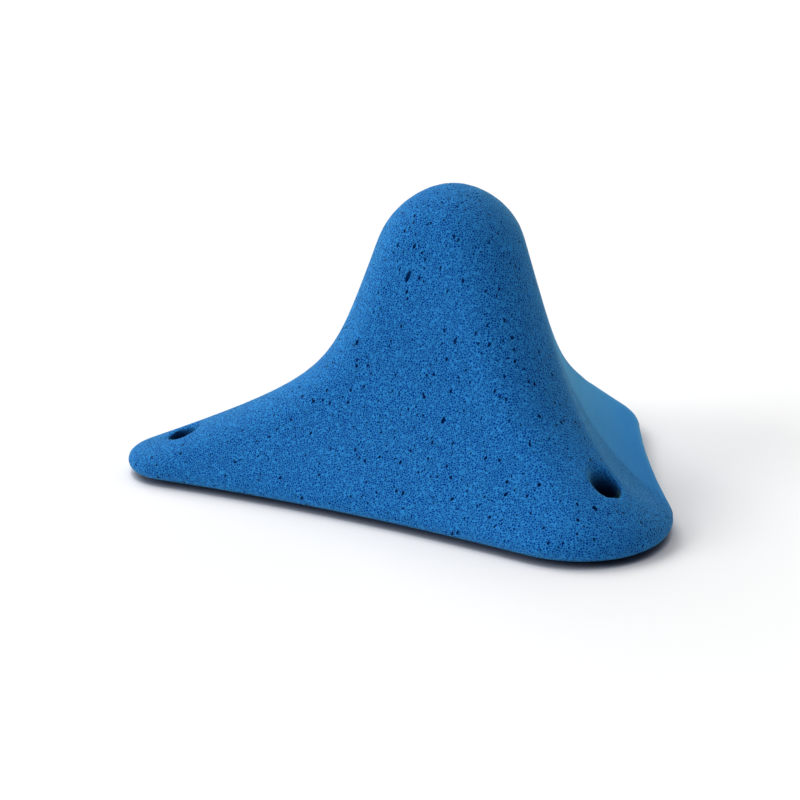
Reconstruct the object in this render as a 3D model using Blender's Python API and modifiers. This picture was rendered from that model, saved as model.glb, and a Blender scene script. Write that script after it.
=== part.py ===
"""Screw-on pinch hold for a climbing wall: a cast body with three legs and a steel washer in each recess.

The flat back lies at z = 0 and +Z points away from the wall. The origin is the foot of the peak's axis.
The long leg points along -X, and the two short legs lie either side of +X.
"""

import math
from collections import namedtuple

import bmesh
import bpy
from mathutils import Vector

MM = 0.001

# Plan of the back, measured from the peak's axis
LONG_LEG = 153.5 * MM
SHORT_LEG = 112.5 * MM
SHORT_LEG_ANGLE = math.radians(51)
LONG_TIP_RADIUS = 22.5 * MM
SHORT_TIP_RADIUS = 43 * MM
LONG_SIDE_SAG = 4.6 * MM
SHORT_SIDE_SAG = 2 * MM
EDGE_RADIUS = 4.5 * MM

# The peak is a ball swept down three ridges, with flat faces between them
HEIGHT = 131 * MM
PEAK_RADIUS = 23.5 * MM
RIDGE_ANGLE = math.radians(22.4)
PEAK_LEAN = 6.1 * MM

# Where the ridges and faces would reach the back if the short legs kept their sharp ridges to the end
RIDGE_FOOT = 123 * MM
RIDGE_FOOT_ANGLE = math.radians(56)
RIDGE_FOOT_RADIUS = 11 * MM
FACE_SAG = 0.5 * MM
BLUNTING_HEIGHT = 8 * MM

# How the steep flanks turn out into the legs and the webs between them
BEND_HEIGHT = 39.5 * MM
BEND_SOFTNESS = 9.8 * MM

# Screw recesses, each on the axis of its leg and set in from the end of it
LONG_HOLE_INSET = 25.5 * MM
SHORT_HOLE_INSET = 23.5 * MM
RECESS_RADIUS = 6.3 * MM
LONG_MOUTH_HEIGHT = 14 * MM
SHORT_MOUTH_HEIGHT = 24.7 * MM
MOUTH_ROUNDING = 9 * MM
MOUTH_TURN = math.radians(55)
SEAT_HEIGHT = 9 * MM
WASHER_OUTER_RADIUS = 6 * MM
WASHER_INNER_RADIUS = 3.2 * MM
WASHER_THICKNESS = 1.6 * MM
CLEARANCE = 0.3 * MM
CUT_MARGIN = 5 * MM

# How finely the surface is divided
TIP_STEPS = 16
SIDE_STEPS = 16
EDGE_STEPS = 5
FACE_STEPS = 22
DOME_STEPS = 7
MOUTH_STEPS = 6
ROUND_STEPS = 48
FACE_STEP_GROWTH = 1.5
EDGE_FIT_ROUNDS = 20
CREASE_ANGLE = math.radians(40)

BALL_HEIGHT = HEIGHT - PEAK_RADIUS

Leg = namedtuple("Leg", "angle length tip_radius foot foot_angle foot_radius hole_inset mouth_height")
LONG = Leg(
    angle=math.pi,
    length=LONG_LEG,
    tip_radius=LONG_TIP_RADIUS,
    foot=LONG_LEG,
    foot_angle=math.pi,
    foot_radius=LONG_TIP_RADIUS,
    hole_inset=LONG_HOLE_INSET,
    mouth_height=LONG_MOUTH_HEIGHT,
)
FRONT = Leg(
    angle=-SHORT_LEG_ANGLE,
    length=SHORT_LEG,
    tip_radius=SHORT_TIP_RADIUS,
    foot=RIDGE_FOOT,
    foot_angle=-RIDGE_FOOT_ANGLE,
    foot_radius=RIDGE_FOOT_RADIUS,
    hole_inset=SHORT_HOLE_INSET,
    mouth_height=SHORT_MOUTH_HEIGHT,
)
BACK = FRONT._replace(angle=SHORT_LEG_ANGLE, foot_angle=RIDGE_FOOT_ANGLE)
LEGS = {"long": LONG, "front": FRONT, "back": BACK}

Circle = namedtuple("Circle", "centre radius")
Column = namedtuple("Column", "rim normal foot ridge face")


def clear_scene():
    for old in list(bpy.data.objects):
        bpy.data.objects.remove(old, do_unlink=True)


def new_collection(name):
    collection = bpy.data.collections.new(name)
    bpy.context.scene.collection.children.link(collection)
    return collection


def new_material(name, colour, roughness, metallic):
    material = bpy.data.materials.new(name)
    material.use_nodes = True
    shader = material.node_tree.nodes["Principled BSDF"]
    shader.inputs["Base Color"].default_value = (*colour, 1)
    shader.inputs["Roughness"].default_value = roughness
    shader.inputs["Metallic"].default_value = metallic
    return material


def polar(angle, distance):
    return Vector((distance * math.cos(angle), distance * math.sin(angle)))


def heading(origin, target):
    offset = target - origin
    return math.atan2(offset.y, offset.x)


def turned_past(angle, start):
    """The same direction, as the first angle that isn't below the start."""
    return start + (angle - start) % math.tau


def side_circle(first, second, sag):
    """The circle outside the plan that touches two tip circles and hollows the side between by the sag."""
    span = (second.centre - first.centre).length
    mean_radius = (first.radius + second.radius) / 2
    radius = (span * span / 4 + sag * sag) / (2 * sag) - mean_radius
    to_first = radius + first.radius
    to_second = radius + second.radius
    along = (to_first**2 - to_second**2 + span**2) / (2 * span)
    out = math.sqrt(to_first**2 - along**2)
    direction = (second.centre - first.centre).normalized()
    outward = Vector((direction.y, -direction.x))
    return Circle(first.centre + direction * along + outward * out, radius)


def outline(tips, sags):
    """Points and outward normals, anticlockwise: for each leg the arc of its tip, then the side after it."""
    sides = [side_circle(tips[index], tips[(index + 1) % 3], sags[index]) for index in range(3)]
    points = []
    for index, tip in enumerate(tips):
        side = sides[index]
        start = heading(tip.centre, sides[index - 1].centre)
        end = turned_past(heading(tip.centre, side.centre), start)
        for step in range(TIP_STEPS):
            normal = polar(start + (end - start) * step / TIP_STEPS, 1)
            points.append((tip.centre + normal * tip.radius, normal))
        end = heading(side.centre, tips[(index + 1) % 3].centre)
        start = turned_past(heading(side.centre, tip.centre), end)
        for step in range(SIDE_STEPS):
            normal = -polar(start + (end - start) * step / SIDE_STEPS, 1)
            points.append((side.centre - normal * side.radius, normal))
    return points


def peak_directions():
    """For each column, which way its place on the ridges heads from the axis and which way the peak faces."""
    ridges = [polar(leg.angle, 1) for leg in LEGS.values()]
    faces = []
    for index, ridge in enumerate(ridges):
        along = ridges[(index + 1) % 3] - ridge
        faces.append(math.atan2(-along.x, along.y))
    directions = []
    for index, ridge in enumerate(ridges):
        start = faces[index - 1]
        end = turned_past(faces[index], start)
        for step in range(TIP_STEPS):
            directions.append((ridge, polar(start + (end - start) * step / TIP_STEPS, 1)))
        for step in range(SIDE_STEPS):
            directions.append((ridge.lerp(ridges[(index + 1) % 3], step / SIDE_STEPS), polar(end, 1)))
    return directions


def columns():
    """The plan of the back, the outline that the faces run towards and the peak's section, point by point."""
    legs = LEGS.values()
    tips = [Circle(polar(leg.angle, leg.length - leg.tip_radius), leg.tip_radius) for leg in legs]
    feet = [Circle(polar(leg.foot_angle, leg.foot - leg.foot_radius), leg.foot_radius) for leg in legs]
    back = outline(tips, [LONG_SIDE_SAG, SHORT_SIDE_SAG, LONG_SIDE_SAG])
    sharp = outline(feet, [FACE_SAG] * 3)
    for (rim, normal), (foot, _), (ridge, face) in zip(back, sharp, peak_directions()):
        yield Column(rim, normal, foot, ridge, face)


def bend(z):
    """Nothing well above the bend height, and growing evenly below it, with a soft turn between."""
    return BEND_SOFTNESS * math.log1p(math.exp((BEND_HEIGHT - z) / BEND_SOFTNESS))


def bend_slope(z):
    return 1 / (1 + math.exp((z - BEND_HEIGHT) / BEND_SOFTNESS))


def peak_point(column, z):
    """A point of the plain peak: the ridges spread downwards from the top, and the ball's width is added."""
    reach = (HEIGHT - z) * math.tan(RIDGE_ANGLE)
    rise = max(z - BALL_HEIGHT, 0)
    return column.ridge * reach + column.face * math.sqrt(PEAK_RADIUS**2 - rise**2)


def column_points(column):
    """One column of the casting, from the back face to just under the top, as (place, z) pairs.

    The rounded edge has to run into the face without a crease, so the two are fitted to each other in turns.
    """
    blunting = column.rim - column.foot
    facing = Vector((0, 1))
    for _ in range(EDGE_FIT_ROUNDS):
        meet = EDGE_RADIUS * (1 + facing.y)
        start = column.foot - column.normal * EDGE_RADIUS * (1 - facing.x)
        flare = (start - peak_point(column, meet)) / bend(meet)
        spread = column.ridge * math.tan(RIDGE_ANGLE) + flare * bend_slope(meet) + blunting / BLUNTING_HEIGHT
        facing = Vector((1, spread.dot(column.normal))).normalized()
    points = []
    end = math.atan2(facing.y, facing.x)
    for step in range(EDGE_STEPS):
        angle = (end + math.pi / 2) * step / EDGE_STEPS - math.pi / 2
        inset = EDGE_RADIUS * (1 - math.cos(angle))
        points.append((column.rim - column.normal * inset, EDGE_RADIUS * (1 + math.sin(angle))))
    heights = []
    for step in range(FACE_STEPS):
        heights.append(meet + (BALL_HEIGHT - meet) * (step / FACE_STEPS) ** FACE_STEP_GROWTH)
    for step in range(DOME_STEPS):
        heights.append(BALL_HEIGHT + PEAK_RADIUS * math.sin(math.pi / 2 * step / DOME_STEPS))
    for z in heights:
        place = peak_point(column, z) + flare * bend(z) + blunting * math.exp((meet - z) / BLUNTING_HEIGHT)
        points.append((place, z))
    return points


def leaned(place, z):
    """The peak leans towards the long leg."""
    return Vector((place.x - PEAK_LEAN * z / HEIGHT, place.y, z))


def build_body(parts, material):
    """The casting, lofted from the plan outline at the back to the ball at the top of the peak."""
    mesh = bmesh.new()
    rows = []
    for column in columns():
        rows.append([mesh.verts.new(leaned(place, z)) for place, z in column_points(column)])
    top = mesh.verts.new(leaned(Vector((0, 0)), HEIGHT))
    for row, following in zip(rows, rows[1:] + rows[:1]):
        for level in range(len(row) - 1):
            mesh.faces.new((row[level], following[level], following[level + 1], row[level + 1]))
        mesh.faces.new((row[-1], following[-1], top))
    mesh.faces.new([row[0] for row in reversed(rows)])
    bmesh.ops.recalc_face_normals(mesh, faces=mesh.faces)
    body = bpy.data.objects.new("hold_body", bpy.data.meshes.new("hold_body"))
    mesh.to_mesh(body.data)
    mesh.free()
    body.data.materials.append(material)
    parts.objects.link(body)
    return body


def finish_shape(obj):
    """Applies the modifiers, then shades the round faces smooth and keeps the creases."""
    graph = bpy.context.evaluated_depsgraph_get()
    obj.data = bpy.data.meshes.new_from_object(obj.evaluated_get(graph))
    obj.modifiers.clear()
    obj.data.shade_smooth()
    obj.data.set_sharp_from_angle(angle=CREASE_ANGLE)


def turned(name, profile, ring=False):
    """A solid turned about its own upright axis from (distance, height) pairs."""
    mesh = bpy.data.meshes.new(name)
    edges = [(index, index + 1) for index in range(len(profile) - 1)]
    if ring:
        edges.append((len(profile) - 1, 0))
    mesh.from_pydata([(distance, 0, height) for distance, height in profile], edges, [])
    solid = bpy.data.objects.new(name, mesh)
    turn = solid.modifiers.new("Turn", "SCREW")
    turn.steps = ROUND_STEPS
    turn.render_steps = ROUND_STEPS
    turn.use_merge_vertices = True
    turn.merge_threshold = 0.1 * MM
    return solid


def recess_cutter(cutters, name, place, mouth_height):
    """A turned plug: a mouth rounded on its uphill side, the recess, and the screw's way through the back."""
    floor = SEAT_HEIGHT - WASHER_THICKNESS - CLEARANCE
    mouth = []
    for step in range(MOUTH_STEPS + 1):
        angle = MOUTH_TURN * (1 - step / MOUTH_STEPS)
        distance = RECESS_RADIUS + MOUTH_ROUNDING * (1 - math.cos(angle))
        mouth.append((distance, mouth_height + MOUTH_ROUNDING * math.sin(angle)))
    profile = [(0, BEND_HEIGHT), (mouth[0][0], BEND_HEIGHT)]
    profile += mouth
    profile += [(RECESS_RADIUS, floor), (WASHER_INNER_RADIUS, floor)]
    profile += [(WASHER_INNER_RADIUS, -CUT_MARGIN), (0, -CUT_MARGIN)]
    cutter = turned(name, profile)
    cutter.location = place
    cutter.hide_render = True
    cutter.display_type = "WIRE"
    cutters.objects.link(cutter)
    return cutter


def build_washer(parts, name, place, material):
    """A flat steel ring."""
    bottom = SEAT_HEIGHT - WASHER_THICKNESS
    profile = [
        (WASHER_OUTER_RADIUS, SEAT_HEIGHT),
        (WASHER_OUTER_RADIUS, bottom),
        (WASHER_INNER_RADIUS, bottom),
        (WASHER_INNER_RADIUS, SEAT_HEIGHT),
    ]
    washer = turned(name, profile, ring=True)
    washer.location = place
    washer.data.materials.append(material)
    parts.objects.link(washer)
    finish_shape(washer)


def main():
    clear_scene()
    parts = new_collection("pinch_hold")
    cutters = new_collection("cutters")
    polyurethane = new_material("blue_polyurethane", (0.014, 0.15, 0.5), 0.8, 0)
    steel = new_material("washer_steel", (0.55, 0.55, 0.56), 0.35, 1)
    body = build_body(parts, polyurethane)
    for name, leg in LEGS.items():
        place = polar(leg.angle, leg.length - leg.hole_inset).to_3d()
        cut = body.modifiers.new(f"recess_{name}", "BOOLEAN")
        cut.object = recess_cutter(cutters, f"recess_{name}_cutter", place, leg.mouth_height)
        cut.operation = "DIFFERENCE"
        cut.use_self = True
        build_washer(parts, f"washer_{name}", place, steel)
    finish_shape(body)


main()
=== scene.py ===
"""A screw-on pinch hold for a climbing wall, cast in blue polyurethane, on a white studio floor.

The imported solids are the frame. Here the casting gets its fine surface and its bubbles, and the washers
their finish.
"""

import math
import random

import bpy
from mathutils import Matrix, Vector


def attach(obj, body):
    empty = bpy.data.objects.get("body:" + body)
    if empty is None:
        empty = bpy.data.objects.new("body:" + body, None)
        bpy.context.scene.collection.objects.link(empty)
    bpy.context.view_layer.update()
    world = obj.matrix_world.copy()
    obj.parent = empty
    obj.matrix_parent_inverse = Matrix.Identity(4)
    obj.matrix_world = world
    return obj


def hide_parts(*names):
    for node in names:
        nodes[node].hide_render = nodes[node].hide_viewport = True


MM = 0.001

# Camera, at the height and distance that the perspective of the object gives
CAMERA_PLACE = (-0.0047, -0.5539, 0.2243)
CAMERA_TILT = math.radians(71)
CAMERA_TURN = math.radians(2.5)
CAMERA_LENS = 58.75
CAMERA_SENSOR = 36

# Light: a faint surround, and soft sources by turn from +X, height, strength and spread, angles in degrees
SURROUND_LIGHT = 0.11
SOFT_SOURCES = {
    "behind": (130, 45, 1.8, 50),
    "left": (170, 45, 0.47, 30),
    "low left": (200, 25, 1.38, 30),
    "right": (45, 45, 0.4, 50),
    "above": (0, 88, 0.55, 40),
}

# Floor, a little below the back of the hold, with painted shade close under its edge
FLOOR_SIZE = 60
FLOOR_GAP = 1.8 * MM
FLOOR_COLOUR = (0.96, 0.96, 0.96, 1)
PAINTED_FLOOR_SHADE_COLOUR = (0.05, 0.09, 0.2, 1)
FLOOR_SHADE_REACH = 3.5 * MM
FLOOR_SHADE_POWER = 1.7
FLOOR_SHADE_SAMPLES = 8

# The casting's even, smoothed surface
SURFACE_STEP = 1.25 * MM
SMOOTHING_ROUNDS = 12
SMOOTHING_FACTOR = 0.5
MERGE_DISTANCE = 0.005 * MM
SHARP_ANGLE = math.radians(35)

# Screw recesses: the turn from +X in degrees and the distance of each from the peak's axis
SHORT_LEG_TURN = 51
HOLE_PLACES = {
    "long": (180, 128 * MM),
    "front": (-SHORT_LEG_TURN, 89 * MM),
    "back": (SHORT_LEG_TURN, 89 * MM),
}
RECESS_RADIUS = 6.3 * MM
RECESS_BLEND = 0.8 * MM
HOLE_KEEP_CLEAR = 8 * MM

# Large bubbles open in the front: place across and up in the front view, width and length, all in millimetres
LARGE_BUBBLES = (
    (-24.5, 96, 2.1, 5.9),
    (-29, 108, 1, 2.5),
    (-22, 108.5, 1.5, 2.6),
    (-25, 89.5, 1.3, 2.4),
    (-24, 115.5, 1, 1.5),
    (-26.5, 105.5, 0.9, 1.3),
    (-29, 101.5, 0.9, 1.4),
    (-28, 98.5, 0.8, 1.7),
    (-8, 92, 1, 1.9),
    (-4.5, 124.5, 1, 1.3),
    (-16.5, 117.5, 0.8, 1.7),
    (2.5, 107.5, 0.9, 1.2),
    (15, 107, 1, 1.3),
    (8.5, 111.5, 1.2, 1.5),
    (-46.5, 65.5, 1.5, 3.4),
    (-46.5, 56, 1.3, 1.9),
    (-49, 46, 1.1, 1.7),
    (5, 72.5, 1, 1.6),
    (19.5, 70.5, 1.2, 2.1),
    (8.5, 80, 1, 2.3),
    (15, 74, 1, 1.4),
    (-9, 76, 1, 2.1),
    (-8, 64.5, 1.2, 2.1),
    (-29.5, 55, 1.1, 1.5),
    (-6, 52, 1.2, 2.1),
    (-17, 48, 1.3, 1.7),
    (-9, 40.5, 1.8, 3),
    (30, 46, 1.5, 2.1),
    (39, 43, 1.3, 2.1),
    (8.5, 30, 1.2, 2.1),
    (14, 30, 1.2, 1.6),
    (26, 37, 1.2, 2.1),
    (-15.5, 33, 1, 1.5),
    (-26.5, 23.5, 1.2, 1.9),
    (17, 23.5, 1.5, 1.9),
    (29.5, 24.5, 1.7, 1.9),
    (16.5, 19.5, 1.5, 2.5),
    (51, 18.5, 1.9, 3.1),
    (44, 15.5, 1.4, 1.8),
    (44, 20, 1.2, 1.7),
    (-2.5, 4.5, 1.2, 2.2),
    (-25, 13.5, 1.2, 1.9),
    (-65.5, 39.5, 1.3, 1.8),
    (-66, 28, 1.3, 2),
    (-68.5, 5, 1.3, 1.7),
    (-78.5, 11, 1.3, 1.8),
    (-35.5, 24, 1.3, 1.7),
    (50, 10, 1.2, 1.7),
)
IN_FRONT = -1

# Every bubble is cut by a ball of width 1 that is stretched, sunk into the surface and leant inwards
BLANK_RADIUS = 0.5
BLANK_DIVISIONS = (1, 2)
BUBBLE_SINK = 0.35
BUBBLE_LEAN = 0.4
LEAN_TURNS_AT = 25 * MM
LEAN_SPREAD = 0.25
LEAST_SLOPE = 0.2

# Small bubbles, scattered all over but for the plain side between the short legs
BUBBLE_SEED = 11
BUBBLE_COUNT = 1000
DRAWS_PER_BUBBLE = 4
BUBBLE_WIDTH = 0.6 * MM
BUBBLE_SPREAD = 0.3
BUBBLE_STRETCH = 1.9
BUBBLE_SPACING = 0.6
BUBBLE_GAP = 0.5 * MM
BUBBLE_CELL = 4 * MM
FINE_BUBBLE_LENGTH = 1.6 * MM
PLAIN_FROM = 0.1
PLAIN_TO = 0.4

# The grain, in cells a metre: close-set pits with thin walls, and scattered pores drawn out along their lean
GRAIN_CELLS = 1050
GRAIN_DEPTH = 0.2 * MM
LINING_DEPTH = 0.1 * MM
WALL_EDGE = 0.02
PIT_EDGE = 0.26
MEAN_PIT = 0.2
PORE_CELLS = 420
PORE_REACH = 0.3
PORE_EDGE = 0.06
PORE_STRETCH = 0.55
PORE_TURN = math.radians(-22)
PORE_SHARE = 0.5

# Where the grain fades: the calm side between the short legs, the sanded edge of the back and the recesses
CALM_FROM = 0.25
CALM_TO = 0.5
CALM_INSET = 29 * MM
CALM_BLEND = 8 * MM
CALM_GRAIN = 0.2
SANDED_FROM = 0.09 * MM
SANDED_TO = 0.3 * MM
SANDED_GRAIN = 0.35
RECESS_GRAIN = 0.75

# Colours of the casting, with painted shade in its pits, pores and bubble linings, and the heights between
# which painted shade darkens its lower edge and its recesses
WALL_BLUE = (0.029, 0.259, 0.66, 1)
SHADED_PIT_BLUE = (0, 0.048, 0.3, 1)
SHADED_PORE_BLUE = (0, 0.016, 0.11, 1)
# Bubble linings, darker than the skin: painted shade inside the cut bubbles
SHADED_LINING_WALL = (0.001, 0.08, 0.3, 1)
SHADED_LINING_PIT = (0, 0.05, 0.22, 1)
# Painted shade along the lower edge, strongest at the floor
RIM_SHADE_BLUE = (0.012, 0.05, 0.17, 1)
RIM_TOP = 2.6 * MM
RIM_SHADE = 0.75
# Painted shade in the screw recesses, deeper towards their floors
RECESS_SHADE_BLUE = (0.001, 0.012, 0.06, 1)
RECESS_SHADE_FOOT = 16 * MM
RECESS_SHADE_TOP = 30 * MM
# The mouth of the long leg's recess lies lower than the others, so its painted shade starts lower
LONG_RECESS_DROP = 7 * MM

# The casting's finish
CAST_FINISH = {
    "Roughness": 0.7,
    "IOR": 1.45,
    "Specular IOR Level": 0.02,
    "Sheen Weight": 0.5,
    "Sheen Roughness": 0.3,
    "Sheen Tint": (0.3, 0.8, 0.7, 1),
}

# Steel washers, with their edges rounded
WASHER_RADIUS = 6 * MM
WASHER_SIDES = 64
WASHER_HOLE_RADIUS = 3.2 * MM
WASHER_HOLE_SIDES = 48
WASHER_THICKNESS = 1.6 * MM
WASHER_SEAT = 9 * MM
WASHER_EDGE = 0.25 * MM
WASHER_EDGE_STEPS = 3
STEEL_DARK = (0.42, 0.42, 0.44, 1)
STEEL_LIGHT = (0.66, 0.66, 0.67, 1)
STEEL_CLOUDS = 600
STEEL_CLOUD_DETAIL = 3
STEEL_SMOOTHEST = 0.22
STEEL_ROUGHEST = 0.5

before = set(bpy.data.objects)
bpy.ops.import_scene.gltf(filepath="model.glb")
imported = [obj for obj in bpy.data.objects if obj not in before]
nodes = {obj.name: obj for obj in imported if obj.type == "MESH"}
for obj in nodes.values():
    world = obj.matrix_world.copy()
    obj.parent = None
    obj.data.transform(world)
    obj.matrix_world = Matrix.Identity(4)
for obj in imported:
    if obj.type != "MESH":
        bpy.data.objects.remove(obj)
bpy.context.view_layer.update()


def select_only(*pieces):
    bpy.ops.object.select_all(action="DESELECT")
    for piece in pieces:
        piece.select_set(True)
    bpy.context.view_layer.objects.active = pieces[0]


def apply_modifier(piece, name, kind, **settings):
    modifier = piece.modifiers.new(name, kind)
    for setting, value in settings.items():
        setattr(modifier, setting, value)
    select_only(piece)
    bpy.ops.object.modifier_apply(modifier=modifier.name)


def hole_middle(leg):
    """The place of a leg's recess on the back of the hold."""
    turn, distance = HOLE_PLACES[leg]
    angle = math.radians(turn)
    return Vector((distance * math.cos(angle), distance * math.sin(angle)))


def smooth_casting(node, name):
    """A copy of the solid, divided evenly and smoothed until no facet shows."""
    casting = bpy.data.objects.new(name, node.data.copy())
    bpy.context.scene.collection.objects.link(casting)
    select_only(casting)
    bpy.ops.object.mode_set(mode="EDIT")
    bpy.ops.mesh.select_all(action="SELECT")
    bpy.ops.mesh.remove_doubles(threshold=MERGE_DISTANCE)
    bpy.ops.object.mode_set(mode="OBJECT")
    casting.data.materials.clear()
    apply_modifier(casting, "Even", "REMESH", mode="VOXEL", voxel_size=SURFACE_STEP, adaptivity=0)
    apply_modifier(casting, "Soften", "SMOOTH", factor=SMOOTHING_FACTOR, iterations=SMOOTHING_ROUNDS)
    return casting


def near_a_hole(place):
    return any((place.xy - hole_middle(leg)).length < HOLE_KEEP_CLEAR for leg in HOLE_PLACES)


def lean_at(place):
    """The bubbles' upper ends lean inwards from both sides."""
    return BUBBLE_LEAN if place.x < LEAN_TURNS_AT else -BUBBLE_LEAN


def large_bubbles(casting):
    """The large bubbles, each cast from the front onto the surface."""
    found = []
    for x, z, width, length in LARGE_BUBBLES:
        start = Vector((x * MM, IN_FRONT, z * MM))
        _, place, normal, _ = casting.ray_cast(start, Vector((0, 1, 0)))
        found.append((place, normal, width * MM, length * MM, lean_at(place)))
    return found


def scattered_bubbles(casting, found):
    """Small bubbles all over: each keeps clear of the others, and the plain side has none."""
    draw = random.Random(BUBBLE_SEED)
    faces = list(casting.data.polygons)
    areas = [face.area for face in faces]
    taken = {}

    def key_of(place):
        return tuple(int(math.floor(c / BUBBLE_CELL)) for c in place)

    for place, _, _, length, _ in found:
        taken.setdefault(key_of(place), []).append((place, length))
    added = []
    for face in draw.choices(faces, weights=areas, k=BUBBLE_COUNT * DRAWS_PER_BUBBLE):
        if len(added) == BUBBLE_COUNT:
            break
        place = face.center.copy()
        width = BUBBLE_WIDTH * math.exp(abs(draw.gauss(0, BUBBLE_SPREAD)))
        length = width * draw.uniform(1, BUBBLE_STRETCH)
        lean = draw.gauss(lean_at(place), LEAN_SPREAD)
        plain = face.normal.x - abs(face.normal.y) > draw.uniform(PLAIN_FROM, PLAIN_TO)
        if plain or near_a_hole(place):
            continue
        key = key_of(place)
        near = []
        for dx in (-1, 0, 1):
            for dy in (-1, 0, 1):
                for dz in (-1, 0, 1):
                    near += taken.get((key[0] + dx, key[1] + dy, key[2] + dz), [])
        if any(
            (place - other).length < (length + reach) * BUBBLE_SPACING + BUBBLE_GAP for other, reach in near
        ):
            continue
        taken.setdefault(key, []).append((place, length))
        added.append((place, face.normal.copy(), width, length, lean))
    return added


def cut_bubbles(casting, bubbles, lining):
    """Cuts every bubble out of the casting, as one cutter of rounded blanks."""
    select_only(casting)
    blanks = []
    for subdivisions in BLANK_DIVISIONS:
        bpy.ops.mesh.primitive_ico_sphere_add(
            subdivisions=subdivisions, radius=BLANK_RADIUS, location=(0, 0, 0)
        )
        bpy.context.object.data.materials.append(lining)
        blanks.append(bpy.context.object)
    copies = []
    for place, normal, width, length, lean in bubbles:
        blank = blanks[0] if length < FINE_BUBBLE_LENGTH else blanks[1]
        up = Vector((lean, 0, 1))
        along = up - normal * up.dot(normal)
        if along.length < LEAST_SLOPE:
            along = normal.orthogonal()
        along.normalize()
        across = along.cross(normal)
        turn = Matrix((across, along, normal)).transposed().to_4x4()
        size = Matrix.Diagonal((width, length, width, 1))
        sunk = place - normal * width * BLANK_RADIUS * BUBBLE_SINK
        copy = bpy.data.objects.new("bubble", blank.data.copy())
        copy.matrix_world = Matrix.Translation(sunk) @ turn @ size
        bpy.context.scene.collection.objects.link(copy)
        copies.append(copy)
    for blank in blanks:
        bpy.data.objects.remove(blank)
    select_only(*copies)
    bpy.ops.object.join()
    cutter = bpy.context.object
    apply_modifier(
        casting,
        "Bubbles",
        "BOOLEAN",
        object=cutter,
        operation="DIFFERENCE",
        solver="MANIFOLD",
        material_mode="TRANSFER",
    )
    bpy.data.objects.remove(cutter)
    select_only(casting)
    bpy.ops.object.shade_smooth_by_angle(angle=SHARP_ANGLE)


def add_node(tree, kind, inputs=None, **settings):
    """A node with its settings and its unlinked inputs' values."""
    node = tree.nodes.new(kind)
    for setting, value in settings.items():
        setattr(node, setting, value)
    for name, value in (inputs or {}).items():
        node.inputs[name].default_value = value
    return node


def maths(tree, operation, first, second=None):
    node = add_node(tree, "ShaderNodeMath", operation=operation)
    for index, value in enumerate((first, second)):
        if isinstance(value, bpy.types.NodeSocket):
            tree.links.new(value, node.inputs[index])
        elif value is not None:
            node.inputs[index].default_value = value
    return node.outputs[0]


def smooth_step(tree, value, low, high, to_low=0, to_high=1):
    node = add_node(
        tree,
        "ShaderNodeMapRange",
        interpolation_type="SMOOTHSTEP",
        inputs={"From Min": low, "From Max": high, "To Min": to_low, "To Max": to_high},
    )
    tree.links.new(value, node.inputs["Value"])
    return node.outputs["Result"]


def split(tree, vector):
    """The three parts of a vector."""
    parts = add_node(tree, "ShaderNodeSeparateXYZ")
    tree.links.new(vector, parts.inputs["Vector"])
    return parts.outputs["X"], parts.outputs["Y"], parts.outputs["Z"]


def mixed(tree, amount, first, second):
    """The first colour turned into the second by an amount, each a colour or a socket."""
    node = add_node(tree, "ShaderNodeMix", data_type="RGBA")
    for name, colour in (("A", first), ("B", second)):
        if isinstance(colour, bpy.types.NodeSocket):
            tree.links.new(colour, node.inputs[name])
        else:
            node.inputs[name].default_value = colour
    tree.links.new(amount, node.inputs["Factor"])
    return node.outputs["Result"]


def pore_mask(tree, place):
    """Scattered small pores, drawn out along their lean: 1 inside them."""
    stretch = add_node(
        tree,
        "ShaderNodeMapping",
        inputs={"Rotation": (0, PORE_TURN, 0), "Scale": (1, 1, PORE_STRETCH)},
    )
    tree.links.new(place, stretch.inputs["Vector"])
    cells = add_node(tree, "ShaderNodeTexVoronoi", voronoi_dimensions="3D", inputs={"Scale": PORE_CELLS})
    tree.links.new(stretch.outputs["Vector"], cells.inputs["Vector"])
    chance, _, _ = split(tree, cells.outputs["Color"])
    reach = add_node(
        tree,
        "ShaderNodeMapRange",
        inputs={"From Min": 1 - PORE_SHARE, "From Max": 1, "To Min": 0, "To Max": PORE_REACH},
    )
    tree.links.new(chance, reach.inputs["Value"])
    depth = maths(tree, "SUBTRACT", reach.outputs["Result"], cells.outputs["Distance"])
    return smooth_step(tree, depth, 0, PORE_EDGE)


def open_grain(tree, place, strength):
    """The open grain of the casting: its pits and its pores, as masks."""
    cells = add_node(
        tree,
        "ShaderNodeTexVoronoi",
        feature="DISTANCE_TO_EDGE",
        voronoi_dimensions="3D",
        inputs={"Scale": GRAIN_CELLS},
    )
    tree.links.new(place, cells.inputs["Vector"])
    inside = smooth_step(tree, cells.outputs["Distance"], WALL_EDGE, PIT_EDGE)
    blend = add_node(tree, "ShaderNodeMix", data_type="FLOAT", inputs={"A": MEAN_PIT})
    tree.links.new(strength, blend.inputs["Factor"])
    tree.links.new(inside, blend.inputs["B"])
    pores = maths(tree, "MULTIPLY", pore_mask(tree, place), strength)
    return blend.outputs["Result"], pores


def outside_the_recesses(tree, x, y):
    """0 on the walls and floors of the screw recesses and 1 on the rest."""
    distance = None
    for leg in HOLE_PLACES:
        middle = hole_middle(leg)
        aside_x = maths(tree, "SUBTRACT", x, middle.x)
        aside_y = maths(tree, "SUBTRACT", y, middle.y)
        squared_x = maths(tree, "MULTIPLY", aside_x, aside_x)
        squared_y = maths(tree, "MULTIPLY", aside_y, aside_y)
        this = maths(tree, "SQRT", maths(tree, "ADD", squared_x, squared_y))
        distance = this if distance is None else maths(tree, "MINIMUM", distance, this)
    return smooth_step(tree, distance, RECESS_RADIUS, RECESS_RADIUS + RECESS_BLEND)


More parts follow.
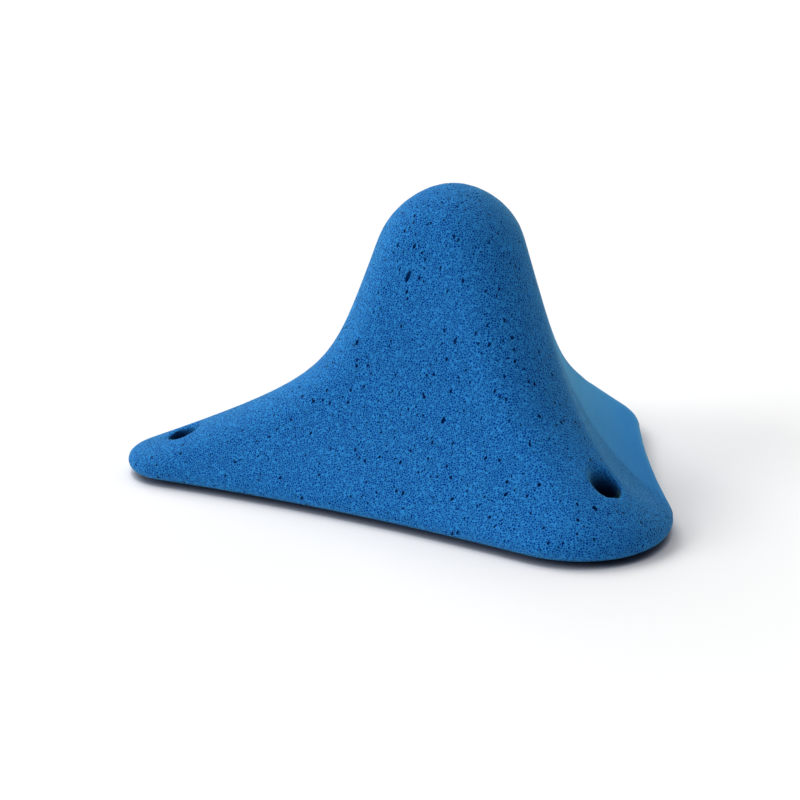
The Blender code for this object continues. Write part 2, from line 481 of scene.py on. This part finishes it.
def calm_side(tree, x, y, normal):
    """1 on the calm side: turned to +X between the short legs, and behind the ridges of these legs."""
    facing_x, facing_y, _ = split(tree, normal)
    between_legs = maths(tree, "SUBTRACT", facing_x, maths(tree, "ABSOLUTE", facing_y))
    turned_aside = smooth_step(tree, between_legs, CALM_FROM, CALM_TO)
    ridge = math.radians(SHORT_LEG_TURN)
    along_x = maths(tree, "MULTIPLY", x, math.sin(ridge))
    along_y = maths(tree, "MULTIPLY", y, math.cos(ridge))
    past_the_ridge = maths(tree, "ADD", along_x, along_y)
    behind_the_leg = smooth_step(tree, past_the_ridge, CALM_INSET, CALM_INSET + CALM_BLEND)
    return maths(tree, "MULTIPLY", turned_aside, behind_the_leg)


def painted_recess_shade(tree, x, z, outside):
    """How deep the painted shade is in a recess: 0 at its mouth and outside it, 1 at its floor."""
    in_the_long_leg = maths(tree, "LESS_THAN", x, 0)
    drop = maths(tree, "MULTIPLY", in_the_long_leg, LONG_RECESS_DROP)
    deep = smooth_step(tree, maths(tree, "ADD", z, drop), RECESS_SHADE_FOOT, RECESS_SHADE_TOP, 1, 0)
    return maths(tree, "MULTIPLY", maths(tree, "SUBTRACT", 1, outside), deep)


def cast_surface_group():
    """Colour and relief of the casting all over, from the colours of its walls and pits."""
    group = bpy.data.node_groups.new("cast surface", "ShaderNodeTree")
    for name, kind in (("Place", "Vector"), ("Normal", "Vector"), ("Wall", "Color"), ("Pit", "Color")):
        group.interface.new_socket(name, in_out="INPUT", socket_type=f"NodeSocket{kind}")
    for name, kind in (("Colour", "Color"), ("Height", "Float")):
        group.interface.new_socket(name, in_out="OUTPUT", socket_type=f"NodeSocket{kind}")
    given = add_node(group, "NodeGroupInput").outputs
    wanted = add_node(group, "NodeGroupOutput").inputs
    x, y, z = split(group, given["Place"])
    calm = calm_side(group, x, y, given["Normal"])
    rough_side = smooth_step(group, calm, 0, 1, 1, CALM_GRAIN)
    off_the_back = smooth_step(group, z, SANDED_FROM, SANDED_TO, SANDED_GRAIN, 1)
    outside = outside_the_recesses(group, x, y)
    off_the_recess = smooth_step(group, outside, 0, 1, RECESS_GRAIN, 1)
    strength = maths(group, "MULTIPLY", maths(group, "MULTIPLY", rough_side, off_the_back), off_the_recess)
    pits, pores = open_grain(group, given["Place"], strength)
    height = maths(group, "SUBTRACT", maths(group, "SUBTRACT", 1, pits), pores)
    # Painted shade: the grain's pits and pores are coloured darker than the walls
    colour = mixed(group, pits, given["Wall"], given["Pit"])
    colour = mixed(group, pores, colour, SHADED_PORE_BLUE)
    # Painted shade: the lower edge darkens towards the floor
    painted_rim_shade = smooth_step(group, z, SANDED_TO, RIM_TOP, RIM_SHADE, 0)
    colour = mixed(group, painted_rim_shade, colour, RIM_SHADE_BLUE)
    # Painted shade in the recesses
    colour = mixed(group, painted_recess_shade(group, x, z, outside), colour, RECESS_SHADE_BLUE)
    group.links.new(colour, wanted["Colour"])
    group.links.new(height, wanted["Height"])
    return group


def cast_blue(name, surface, wall, pit, depth):
    """Blue polyurethane with its grain: the pits hold painted shade, coloured darker than the walls between
    them.
    """
    material = bpy.data.materials.new(name)
    material.use_nodes = True
    tree = material.node_tree
    shader = tree.nodes["Principled BSDF"]
    for setting, value in CAST_FINISH.items():
        shader.inputs[setting].default_value = value
    place = add_node(tree, "ShaderNodeTexCoord")
    shape = add_node(tree, "ShaderNodeNewGeometry")
    cast = add_node(tree, "ShaderNodeGroup", node_tree=surface)
    cast.inputs["Wall"].default_value = wall
    cast.inputs["Pit"].default_value = pit
    tree.links.new(place.outputs["Object"], cast.inputs["Place"])
    tree.links.new(shape.outputs["Normal"], cast.inputs["Normal"])
    tree.links.new(cast.outputs["Colour"], shader.inputs["Base Color"])
    relief = add_node(tree, "ShaderNodeBump", inputs={"Strength": 1, "Distance": depth})
    tree.links.new(cast.outputs["Height"], relief.inputs["Height"])
    tree.links.new(relief.outputs["Normal"], shader.inputs["Normal"])
    return material


def rounded_washer(steel):
    """A plain flat washer with its edges rounded, for copying."""
    bpy.ops.object.select_all(action="DESELECT")
    bpy.ops.mesh.primitive_cylinder_add(
        vertices=WASHER_SIDES, radius=WASHER_RADIUS, depth=WASHER_THICKNESS, location=(0, 0, 0)
    )
    washer = bpy.context.object
    bpy.ops.mesh.primitive_cylinder_add(
        vertices=WASHER_HOLE_SIDES, radius=WASHER_HOLE_RADIUS, depth=WASHER_THICKNESS * 2, location=(0, 0, 0)
    )
    punch = bpy.context.object
    apply_modifier(washer, "Hole", "BOOLEAN", object=punch, operation="DIFFERENCE", solver="EXACT")
    bpy.data.objects.remove(punch)
    apply_modifier(
        washer, "Edges", "BEVEL", width=WASHER_EDGE, segments=WASHER_EDGE_STEPS, limit_method="ANGLE"
    )
    select_only(washer)
    bpy.ops.object.shade_smooth_by_angle(angle=SHARP_ANGLE)
    washer.data.materials.append(steel)
    return washer


def washer_steel():
    """Zinc-plated steel, a little cloudy in colour and polish."""
    material = bpy.data.materials.new("washer steel")
    material.use_nodes = True
    tree = material.node_tree
    shader = tree.nodes["Principled BSDF"]
    shader.inputs["Metallic"].default_value = 1
    place = add_node(tree, "ShaderNodeTexCoord")
    cloud = add_node(
        tree, "ShaderNodeTexNoise", inputs={"Scale": STEEL_CLOUDS, "Detail": STEEL_CLOUD_DETAIL}
    )
    tree.links.new(place.outputs["Object"], cloud.inputs["Vector"])
    colour = mixed(tree, cloud.outputs["Fac"], STEEL_DARK, STEEL_LIGHT)
    tree.links.new(colour, shader.inputs["Base Color"])
    rough = add_node(
        tree, "ShaderNodeMapRange", inputs={"To Min": STEEL_SMOOTHEST, "To Max": STEEL_ROUGHEST}
    )
    tree.links.new(cloud.outputs["Fac"], rough.inputs["Value"])
    tree.links.new(rough.outputs["Result"], shader.inputs["Roughness"])
    return material


def seen_directly(tree):
    """1 for rays from the camera, a mirror or a glass, and 0 for light on its way to a surface."""
    path = add_node(tree, "ShaderNodeLightPath")
    seen = maths(tree, "MAXIMUM", path.outputs["Is Camera Ray"], path.outputs["Is Glossy Ray"])
    return maths(tree, "MAXIMUM", seen, path.outputs["Is Transmission Ray"])


def white_surround():
    """White where it is seen, and faint as a light."""
    world = bpy.data.worlds.new("white surround")
    bpy.context.scene.world = world
    world.use_nodes = True
    tree = world.node_tree
    background = tree.nodes["Background"]
    background.inputs["Color"].default_value = (1, 1, 1, 1)
    level = add_node(tree, "ShaderNodeMapRange", inputs={"To Min": SURROUND_LIGHT, "To Max": 1})
    tree.links.new(seen_directly(tree), level.inputs["Value"])
    tree.links.new(level.outputs["Result"], background.inputs["Strength"])


def white_floor():
    """A pale floor with painted shade close under the hold's edge, that isn't there for a view from
    underneath.
    """
    bpy.ops.mesh.primitive_plane_add(size=FLOOR_SIZE, location=(0, 0, -FLOOR_GAP))
    floor = bpy.context.object
    floor.name = "floor"
    material = bpy.data.materials.new("white floor")
    material.use_nodes = True
    tree = material.node_tree
    shader = tree.nodes["Principled BSDF"]
    # Painted shade: the floor's colour darkens where the hold is close above it
    nearness = add_node(
        tree,
        "ShaderNodeAmbientOcclusion",
        inputs={"Distance": FLOOR_SHADE_REACH},
        samples=FLOOR_SHADE_SAMPLES,
    )
    open_share = maths(tree, "POWER", nearness.outputs["AO"], FLOOR_SHADE_POWER)
    colour = mixed(tree, open_share, PAINTED_FLOOR_SHADE_COLOUR, FLOOR_COLOUR)
    tree.links.new(colour, shader.inputs["Base Color"])
    shader.inputs["Roughness"].default_value = 1
    shader.inputs["Specular IOR Level"].default_value = 0
    side = add_node(tree, "ShaderNodeNewGeometry")
    clear = add_node(tree, "ShaderNodeBsdfTransparent")
    choice = add_node(tree, "ShaderNodeMixShader")
    tree.links.new(side.outputs["Backfacing"], choice.inputs[0])
    tree.links.new(shader.outputs[0], choice.inputs[1])
    tree.links.new(clear.outputs[0], choice.inputs[2])
    tree.links.new(choice.outputs[0], tree.nodes["Material Output"].inputs["Surface"])
    floor.data.materials.append(material)


def soft_source(name, turn, height, strength, spread):
    """A wide, soft, even light from a direction given by its turn from +X and its height above the floor."""
    raised = Matrix.Rotation(-math.radians(height), 3, "Y") @ Vector((1, 0, 0))
    direction = Matrix.Rotation(math.radians(turn), 3, "Z") @ raised
    lamp = bpy.data.lights.new(name, "SUN")
    lamp.energy = strength
    lamp.angle = math.radians(spread)
    source = bpy.data.objects.new(name, lamp)
    source.rotation_euler = direction.to_track_quat("Z", "Y").to_euler()
    bpy.context.scene.collection.objects.link(source)


def camera():
    lens = bpy.data.cameras.new("camera")
    lens.lens = CAMERA_LENS
    lens.sensor_width = CAMERA_SENSOR
    eye = bpy.data.objects.new("camera", lens)
    eye.location = CAMERA_PLACE
    eye.rotation_euler = (CAMERA_TILT, 0, CAMERA_TURN)
    bpy.context.scene.collection.objects.link(eye)
    bpy.context.scene.camera = eye


surface = cast_surface_group()
skin = cast_blue("cast blue", surface, WALL_BLUE, SHADED_PIT_BLUE, GRAIN_DEPTH)
# The bubbles' insides get darker colours: painted shade
lining = cast_blue("bubble lining in painted shade", surface, SHADED_LINING_WALL, SHADED_LINING_PIT, LINING_DEPTH)

casting = smooth_casting(nodes["hold_body"], "casting")
casting.data.materials.append(skin)
bubbles = large_bubbles(casting)
bubbles += scattered_bubbles(casting, bubbles)
cut_bubbles(casting, bubbles, lining)
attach(casting, "root")
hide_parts("hold_body")

washer = rounded_washer(washer_steel())
for leg in HOLE_PLACES:
    copy = washer.copy()
    copy.data = washer.data.copy()
    copy.name = f"steel_washer_{leg}"
    copy.location = (*hole_middle(leg), WASHER_SEAT - WASHER_THICKNESS / 2)
    bpy.context.scene.collection.objects.link(copy)
    select_only(copy)
    bpy.ops.object.transform_apply(location=True, rotation=False, scale=False)
    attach(copy, "root")
    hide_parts(f"washer_{leg}")
bpy.data.objects.remove(washer)

white_surround()
white_floor()
for name, (turn, height, strength, spread) in SOFT_SOURCES.items():
    soft_source(name, turn, height, strength, spread)
camera()
bpy.context.scene.view_settings.view_transform = "Standard"
